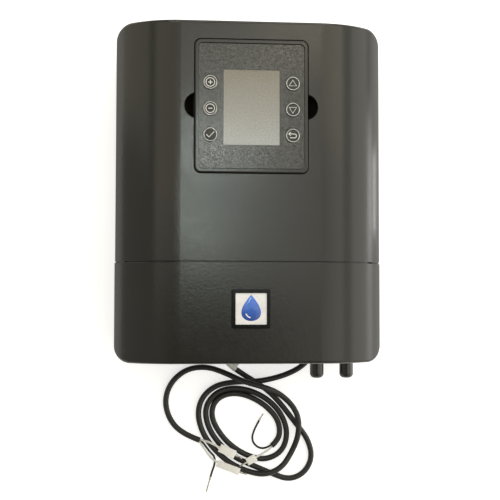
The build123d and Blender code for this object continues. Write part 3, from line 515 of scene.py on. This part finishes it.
def rounded(radius, height, corner, steps):
    """Quarter round from a wall up to a top, as profile points."""
    made = []
    for step in range(steps + 1):
        turn = pi / 2 * step / steps
        made.append((radius - corner * (1 - cos(turn)), height - corner * (1 - sin(turn))))
    return made


def raised_lines(name, strokes, thickness, height, centre, body, finish):
    """Raised lines from strokes in millimetres about a centre; a stroke is (points, closed)."""
    curve = bpy.data.curves.new(name, "CURVE")
    curve.dimensions = "3D"
    for points, closed in strokes:
        spline = curve.splines.new("POLY")
        spline.points.add(len(points) - 1)
        for point, (x, y) in zip(spline.points, points):
            point.co = (x * MM, y * MM, 0, 1)
        spline.use_cyclic_u = closed
    curve.bevel_depth = thickness / 2
    curve.bevel_resolution = 3
    curve.use_fill_caps = True
    maker = add(name + "_lines", curve)
    mesh = bpy.data.meshes.new_from_object(maker)
    bpy.data.objects.remove(maker)
    flatten = Matrix.Diagonal((1, 1, height / thickness * 2, 1))
    mesh.transform(Matrix.Translation(centre) @ flatten)
    mesh.name = name
    piece = add(name, mesh)
    paint(piece, finish)
    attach(piece, body)


def arc(radius, start, end, steps=24, centre=(0.0, 0.0)):
    """Points on an arc, in degrees from +X."""
    turns = [radians(start + (end - start) * step / steps) for step in range(steps + 1)]
    return [(centre[0] + radius * cos(turn), centre[1] + radius * sin(turn)) for turn in turns]


# ---------------------------------------------------------------- keys
KEY_R = 6.9 * MM
STEM_R = 2.0 * MM
STEM_LENGTH = 4.3 * MM
FLANGE_T = 2.6 * MM
DISH_SEAT = -1.3 * MM   # top of the key's body, from its crest
FOIL_FOOT = -1.4 * MM
FOIL_ROLL = 0.72 * MM
LEGEND_LINE = 0.72 * MM
LEGEND_HEIGHT = 0.16 * MM
LEGEND_LEVEL = -0.58 * MM
LEGENDS = {
    "key_plus": [(arc(4.2, 0, 345), True), ([(-2.1, 0), (2.1, 0)], False), ([(0, -2.1), (0, 2.1)], False)],
    "key_minus": [(arc(4.2, 0, 345), True), ([(-2.0, 0), (2.0, 0)], False)],
    "key_confirm": [([(-3.7, 0.1), (-1.1, -2.5), (3.9, 2.9)], False)],
    "key_up": [([(-3.6, -2.2), (3.6, -2.2), (0, 3.6)], True)],
    "key_down": [([(-3.6, 2.2), (3.6, 2.2), (0, -3.6)], True)],
    "key_back": [([(-4.0, 1.6), (1.6, 1.6)] + arc(1.9, 90, -90, 12, (1.6, -0.3)) + [(-2.8, -2.2)], False),
                 ([(-2.0, 3.3), (-4.2, 1.6), (-2.0, -0.1)], False)],
}


def key_piece(name):
    """Embossed key: a rolled foil ring round a shallow dish with its legend."""
    low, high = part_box(name)
    centre = Vector(((low.x + high.x) / 2, (low.y + high.y) / 2, high.z))
    place = Matrix.Translation(centre)
    flange_r = (high.x - low.x) / 2
    foot = low.z - high.z
    flange_foot = foot + STEM_LENGTH
    flange_top = flange_foot + FLANGE_T
    body = [(0, foot), (STEM_R, foot), (STEM_R, flange_foot), (flange_r, flange_foot),
            (flange_r, flange_top), (KEY_R, flange_top), (KEY_R, DISH_SEAT),
            (KEY_R - 0.5 * MM, DISH_SEAT), (0, DISH_SEAT)]
    points, faces = turned_shape(body, 48, place)
    base = mesh_piece(name + "_body", points, faces, name, "keycap")
    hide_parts(name)
    turns = [radians(turn) for turn in range(-10, 171, 15)]
    roll_r = KEY_R - FOIL_ROLL
    crest = [(roll_r + FOIL_ROLL * cos(turn), -FOIL_ROLL + FOIL_ROLL * sin(turn)) for turn in turns]
    inner = KEY_R - 2.2 * FOIL_ROLL
    ring = [(KEY_R, FOIL_FOOT), *crest, (inner, -0.85 * MM), (inner, FOIL_FOOT), (KEY_R, FOIL_FOOT)]
    points, faces = turned_shape(ring, 72, place)
    mesh_piece(name + "_ring", points, faces, name, "key_ring", 60)
    dish_r = KEY_R - 1.4 * MM
    dish_foot = -1.35 * MM
    dish = [(0, dish_foot), (dish_r, dish_foot), (dish_r, -0.9 * MM), (3.4 * MM, -0.68 * MM),
            (1.8 * MM, -0.6 * MM), (0, -0.57 * MM)]
    points, faces = turned_shape(dish, 48, place)
    mesh_piece(name + "_dish", points, faces, name, "keycap", 60)
    raised_lines(name + "_legend", LEGENDS[name], LEGEND_LINE, LEGEND_HEIGHT,
                 centre + Vector((0, 0, LEGEND_LEVEL)), name, "legend")


# ---------------------------------------------------------------- badge
DROP_HALF = 12.6 * MM   # half of the drop's height
DROP_RISE = 1.0 * MM    # its middle stands that far above the plate's


def badge_emblem():
    """Blue water drop with a pale crescent, slightly domed under clear resin."""
    low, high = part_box("badge_plate")
    centre = Vector(((low.x + high.x) / 2, (low.y + high.y) / 2 + DROP_RISE, high.z))
    steps = 72
    outline = []
    for step in range(steps):
        turn = 2 * pi * step / steps
        outline.append((DROP_HALF * sin(turn) * abs(sin(turn / 2)) ** 1.15, DROP_HALF * cos(turn)))
    crown = [(1.0, -0.1), (1.0, 0.12), (0.975, 0.2), (0.9, 0.3), (0.7, 0.42), (0.4, 0.5), (0.15, 0.53)]
    belly = -0.22 * DROP_HALF
    points = []
    for scale, height in crown:
        for x, y in outline:
            points.append(centre + Vector((x * scale, belly + (y - belly) * scale, height * MM)))
    faces = [face[::-1] for face in skin(len(crown), steps)]
    mesh_piece("badge_drop", points, faces, "terminal_cover", "emblem", 60)
    raised_lines("badge_crescent", [(arc(5.2, 195, 262, 18, (0, -4.2)), False)], 1.3 * MM, 0.3 * MM,
                 centre + Vector((0, 0, 0.36 * MM)), "terminal_cover", "badge_white")


# ---------------------------------------------------------------- cable glands
def gland_nut(name):
    """Dome nut: chamfered hexagon, then a ribbed dome down to the lead."""
    low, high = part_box(name)
    centre = Vector(((low.x + high.x) / 2, high.y, (low.z + high.z) / 2))
    length = high.y - low.y
    place = facing(centre, centre + Vector((0, -1, 0)))
    hexagon = 8 * MM        # length of the part that a spanner grips
    flat = 9.7 * MM
    chamfer = 0.5 * MM
    bore = 8.0 * MM
    mouth = 3.9 * MM        # radius round the lead
    mouth_length = 4 * MM

    def ripple(turn, height):
        if height <= hexagon + 0.01 * MM:
            corner = (turn % (pi / 3)) - pi / 6
            return min(1 / cos(corner), 1.13)
        rib = 0.5 + 0.5 * cos(turn * 24)
        fade = max(0.0, min(1.0, (length - height) / (5 * MM)))
        return 1 + 0.045 * (rib - 0.6) * fade
    outside = [(bore, 0), (flat * 0.95, 0), (flat, chamfer), (flat, hexagon - chamfer),
               (flat * 0.95, hexagon)]
    dome = [(flat, hexagon + 0.4 * MM)] + rounded(flat, length, 4.2 * MM, 8)[:-1]
    inside = [(4.6 * MM, length), (mouth, length - 0.7 * MM), (mouth, length - mouth_length),
              (bore, length - mouth_length), (bore, 0)]
    points, faces = turned_shape(outside + dome + inside, 144, place, ripple)
    piece = mesh_piece(name + "_ribbed", points, faces, "root", "gland_nylon")
    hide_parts(name)


# ---------------------------------------------------------------- what is on the leads
COLLAR_LENGTH = 2.7 * MM
STRANDS_R = 0.82 * MM
SLEEVE_T = 2.6 * MM
SLEEVE_END = 0.6 * MM   # from the sleeve to the core's end
LABEL_TAIL = 9.5 * MM   # how far the flag stands out from the lead
LABEL_T = 0.36 * MM     # both layers of it


def core_tip(name, route, length):
    """Crimped collar on a core's end, then its bare twisted strands."""
    end = Vector(route[-1])
    place = facing(end, end * 2 - Vector(route[-2]))

    def ripple(turn, height):
        return 1.0 if height <= COLLAR_LENGTH else 1 + 0.09 * cos(6 * turn + height / (0.9 * MM))
    run = length - COLLAR_LENGTH
    strands = [(STRANDS_R, COLLAR_LENGTH + run * step / 40) for step in range(41)]
    profile = [(0, -0.4 * MM), (1.22 * MM, -0.4 * MM), (1.3 * MM, -0.2 * MM), (1.3 * MM, 0.4 * MM),
               (1.24 * MM, 0.7 * MM), (1.24 * MM, 1.9 * MM), (1.28 * MM, 2.2 * MM),
               (1.15 * MM, COLLAR_LENGTH)]
    points, faces = turned_shape(profile + strands + [(0.5 * MM, length), (0, length)], 36, place, ripple)
    piece = mesh_piece(name, points, faces, "root", "nickel", 50)
    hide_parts("core_ferrules")
    return piece


def flat_sleeve(name, route, length, width):
    """Blank white sleeve pressed flat round the last straight run of a core."""
    tip = Vector(route[-1])
    along = (tip - Vector(route[-2])).normalized()
    across = along.cross(UP).normalized()
    lift = across.cross(along)
    start = tip - along * (length + SLEEVE_END)
    half = width / 2
    thick = SLEEVE_T / 2
    turns = [2 * pi * step / 40 for step in range(40)]
    section = [(half * abs(cos(turn)) ** 0.35 * (1 if cos(turn) > 0 else -1),
                thick * abs(sin(turn)) ** 0.55 * (1 if sin(turn) > 0 else -1)) for turn in turns]
    # Share of the length, then the section's width and height there: rounded ends and a slight waist.
    rings = ((0.0, 0.86, 0.6), (0.004, 0.96, 0.85), (0.02, 1.0, 1.0), (0.3, 0.985, 0.93), (0.5, 1.0, 0.9),
             (0.7, 0.985, 0.93), (0.98, 1.0, 1.0), (0.996, 0.96, 0.85), (1.0, 0.86, 0.6))
    points = []
    for share, wide, high in rings:
        points += [start + along * length * share + across * x * wide + lift * z * high for x, z in section]
    faces = skin(len(rings), len(section))
    piece = mesh_piece(name, points, faces, "root", "marker_white", 50)
    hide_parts("core_markers")
    return piece


def finish_cores(name, cores, routes, kinds, node):
    """Cores in their own colours, each with its metal end and, on white ones, a flat sleeve."""
    for number, (core, route, kind) in enumerate(zip(cores, routes, kinds), 1):
        tone, length, sleeve, bare = kind
        paint(core, tone)
        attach(core, "root")
        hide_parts(node)
        pieces = [core_tip(f"{name}_core_end_{number}", route, bare)]
        if sleeve:
            pieces.append(flat_sleeve(f"{name}_sleeve_{number}", route, *sleeve))


def blank_label(cord, start, end):
    """Blank paper flag folded round a lead, between two distances from its start."""
    line = centreline(cord)
    travelled = 0.0
    chosen = []
    for before, point in zip(line, line[1:]):
        travelled += (point - before).length
        if start <= travelled <= end:
            chosen.append((point, (point - before).normalized()))
    wrap = SHEATH_D / 2 + 0.25 * MM
    tail = LABEL_TAIL
    paper = LABEL_T / 2
    section = [(-tail, paper), (-wrap, paper)]
    section += [(wrap * cos(radians(turn)), wrap * sin(radians(turn))) for turn in range(165, -166, -15)]
    section += [(-wrap, -paper), (-tail, -paper)]
    points = []
    for index, (point, along) in enumerate(chosen):
        side = along.cross(UP).normalized()
        lift = side.cross(along)
        curl = 0.9 * MM * sin(3.0 * index / len(chosen))
        for across, rise in section:
            sag = curl * (across / tail) ** 2 if across < 0 else 0
            points.append(point + side * across + lift * (rise + sag))
    faces = skin(len(chosen), len(section))
    return mesh_piece("blank_label", points, faces, "root", "label")


def finish_leads():
    """Black sheaths, the blank flag on the cell lead, and the cores of both."""
    label = blank_label(cell_lead, LABEL_FROM, LABEL_TO)
    for cord, node, length, pieces in ((mains_lead, "mains_lead", MAINS_LENGTH, ()),
                                       (cell_lead, "cell_lead", CELL_LENGTH, (label,))):
        paint(cord, "sheath")
        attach(cord, "root")
        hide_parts(node)
    finish_cores("mains", mains_cores, MAINS_CORE_ROUTES, MAINS_CORES, "mains_lead_cores")
    finish_cores("cell", cell_cores, CELL_CORE_ROUTES, CELL_CORES, "cell_lead_cores")


# ---------------------------------------------------------------- floor and light
def floor():
    """Plain white table that glows a little, so that shadows on it stay faint."""
    half = 3.0
    level = -0.4 * MM
    mesh = bpy.data.meshes.new("floor")
    corners = [(-half, -half, level), (half, -half, level), (half, half, level), (-half, half, level)]
    mesh.from_pydata(corners, [], [(0, 1, 2, 3)])
    piece = add("floor", mesh)
    made = Finish("floor_white", Emission_Strength=0.62)
    made.shader.inputs["Emission Color"].default_value = (1, 1, 1, 1)
    made.colour(made.mix(made.noise(9, 3), (0.80, 0.80, 0.80), (0.84, 0.84, 0.84)))
    made.rough(made.span(made.noise(40, 3), 0.3, 0.7, 0.7, 0.85))
    piece.data.materials.append(made.material)


NEUTRAL = (1.0, 1.0, 1.0)
COOL = (0.95, 1.05, 0.99)
SOFT_WARM = (1.0, 0.97, 0.88)
WARM = (1.0, 0.92, 0.72)


def panel(name, place, target, width, height, radiance, tint=NEUTRAL, turn=0.0):
    """Area light of that radiance, aimed at a point and turned about its own axis in degrees."""
    light = bpy.data.lights.new(name, "AREA")
    light.shape = "RECTANGLE"
    light.size = width
    light.size_y = height
    light.energy = radiance * width * height * pi
    light.color = tint
    lamp = add(name, light)
    aim = (Vector(target) - Vector(place)).to_track_quat("-Z", "Y").to_matrix()
    lamp.rotation_euler = (aim @ Matrix.Rotation(radians(turn), 3, "Z")).to_euler()
    lamp.location = place
    lamp.visible_camera = False


def studio():
    """Overhead panels and glints, low panels at the sides, and a world that brightens to the right."""
    overhead = 1.45
    for name, left, right, near, far, radiance, tint in (
            ("overhead_main", -0.10, 0.16, -0.04, 0.34, 1.7, COOL),
            ("overhead_main_far", -0.10, 0.16, 0.34, 0.62, 1.75, SOFT_WARM),
            ("overhead_main_near", -0.10, 0.16, -0.12, -0.04, 0.8, COOL),
            ("overhead_right", 0.16, 0.31, -0.12, 0.46, 1.1, SOFT_WARM),
            ("overhead_far", 0.14, 0.34, 0.46, 0.80, 3.3, WARM),
            ("overhead_near", 0.20, 0.34, -0.45, -0.12, 0.5, SOFT_WARM),
            ("overhead_left_far", -1.10, -0.10, 0.08, 1.00, 0.72, WARM),
            ("overhead_left", -1.10, -0.10, -0.10, 0.08, 0.45, SOFT_WARM),
            ("overhead_right_far", 0.34, 1.30, 0.28, 1.00, 1.25, WARM),
            ("overhead_right_near", 0.34, 1.30, -0.45, 0.28, 0.6, SOFT_WARM)):
        middle = ((left + right) / 2, (near + far) / 2)
        panel(name, (*middle, overhead), (*middle, 0), right - left, far - near, radiance, tint)
    panel("glint", (0.0, 0.245, 1.445), (0.0, 0.245, 0), 0.08, 0.06, 20.0, (0.93, 1.06, 1.0))
    panel("glint_right", (0.075, 0.24, 1.445), (0.075, 0.24, 0), 0.07, 0.06, 8.0)
    panel("bright_panel", (-0.045, 0.07, 1.44), (-0.045, 0.07, 0), 0.20, 0.085, 6.0, (0.93, 1.06, 0.97),
          turn=-50)
    panel("right_high", (1.25, 0.0, 0.55), (1.0, 0.0, 0.55), 1.2, 0.7, 0.9, SOFT_WARM)
    panel("right_low", (1.22, -0.12, 0.10), (1.0, -0.12, 0.10), 0.8, 0.2, 1.9)
    panel("right_window", (1.20, 0.10, 0.07), (1.0, 0.10, 0.07), 0.22, 0.14, 2.0)
    panel("right_close", (0.45, 0.035, 0.022), (0.0, 0.035, 0.022), 0.11, 0.044, 4.0)
    panel("left_top", (-1.2, 0.72, 0.6), (0.0, 0.72, 0.6), 0.95, 1.2, 0.6, WARM)
    panel("back_fill", (0.2, 1.6, 1.2), (0.0, 0.1, 0.0), 1.2, 0.8, 3.0, SOFT_WARM)
    world = bpy.data.worlds.new("studio")
    world.use_nodes = True
    tree = world.node_tree
    direction = tree.nodes.new("ShaderNodeTexCoord").outputs["Generated"]
    across = tree.nodes.new("ShaderNodeSeparateXYZ")
    tree.links.new(direction, across.inputs[0])
    to_unit = tree.nodes.new("ShaderNodeMapRange")
    tree.links.new(across.outputs["X"], to_unit.inputs["Value"])
    to_unit.inputs["From Min"].default_value = -1
    ramp = tree.nodes.new("ShaderNodeValToRGB")
    tree.links.new(to_unit.outputs["Result"], ramp.inputs["Fac"])
    stops = ((0.0, 0.54), (0.25, 0.44), (0.47, 0.2), (0.53, 0.2), (0.62, 0.7), (0.8, 1.15), (1.0, 1.15))
    while len(ramp.color_ramp.elements) < len(stops):
        ramp.color_ramp.elements.new(0.5)
    for stop, (place, grey) in zip(ramp.color_ramp.elements, stops):
        stop.position = place
        stop.color = (grey, 0.96 * grey, 0.85 * grey, 1)
    tree.links.new(ramp.outputs["Color"], tree.nodes["Background"].inputs["Color"])
    tree.nodes["Background"].inputs["Strength"].default_value = 1.0
    bpy.context.scene.world = world
    bpy.context.scene.view_settings.view_transform = "Standard"


paint_frame()
for key_name in LEGENDS:
    key_piece(key_name)
badge_emblem()
for nut_name in ("mains_gland_nut", "cell_gland_nut"):
    gland_nut(nut_name)
finish_leads()
floor()
studio()
